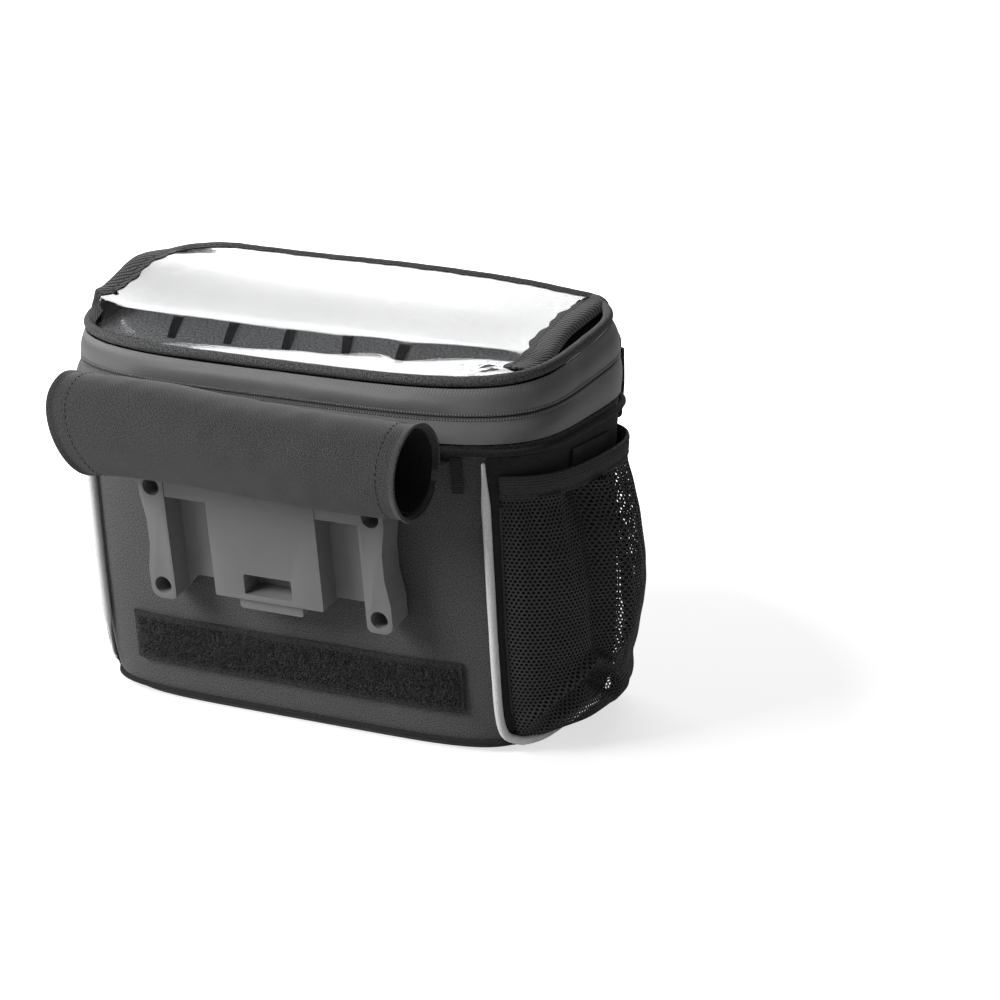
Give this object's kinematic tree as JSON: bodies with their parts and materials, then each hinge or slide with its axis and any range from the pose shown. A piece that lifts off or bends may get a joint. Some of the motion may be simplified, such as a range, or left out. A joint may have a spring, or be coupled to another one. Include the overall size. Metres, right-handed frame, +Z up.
{
  "type": "bicycle handlebar bag",
  "caption": "Soft handlebar bag with a zipped lid, clear map sleeve, net side pockets, rolled cover flap and a hard rear mounting plate.",
  "frame": {"origin": "middle of the flat floor that the bag stands on", "axes": "+Z up, +X toward the bag's right side, -Y toward the rider, where the mounting plate is"},
  "size_m": [0.2795, 0.2092, 0.2103],
  "materials": {
    "heather_cloth": "mottled dark grey woven cloth",
    "coated_cloth": "smooth coated cloth with a soft sheen",
    "lid_cloth": "plain black cloth",
    "heather_cord": "mottled grey cloth over cord",
    "cord_cloth": "black cloth over thin cord",
    "zip_tape": "coated zip tape with a hidden coil",
    "binding_tape": "black twill binding",
    "clear_film": "clear glossy film",
    "webbing": "ribbed black webbing",
    "elastic": "ribbed black elastic",
    "net": "black net with round holes",
    "reflective_cloth": "light grey reflective piping",
    "hook_pile": "black hook pile with woven edges",
    "plate_plastic": "fine grained moulded plastic",
    "slider_metal": "dark painted zip slider"
  },
  "bodies": {
    "root": {"body_shell": "heather_cloth", "base_welt": "cord_cloth", "lower_piping": "cord_cloth", "lid_band_lower": "coated_cloth", "zip_chain": "zip_tape", "lid_hinge": "coated_cloth", "lid_band_upper": "coated_cloth", "top_piping": "heather_cord", "lid_panel": "lid_cloth", "map_window": "clear_film", "map_binding": "binding_tape", "map_strip": "heather_cord", "map_loop_1": "binding_tape", "map_loop_2": "binding_tape", "map_loop_3": "binding_tape", "map_loop_4": "binding_tape", "map_loop_5": "binding_tape", "flap_roll": "heather_cloth", "flap_strap": "webbing", "mount_plate": "plate_plastic", "hook_strip": "hook_pile", "reflective_piping_right": "reflective_cloth", "reflective_piping_left": "reflective_cloth", "pocket_right": "net", "pocket_left": "net", "pocket_band_right": "elastic", "pocket_band_left": "elastic", "pocket_tab_right": "webbing", "zip_slider": "slider_metal", "zip_bail": "slider_metal", "zip_pull": "webbing"}
  },
  "joints": []
}
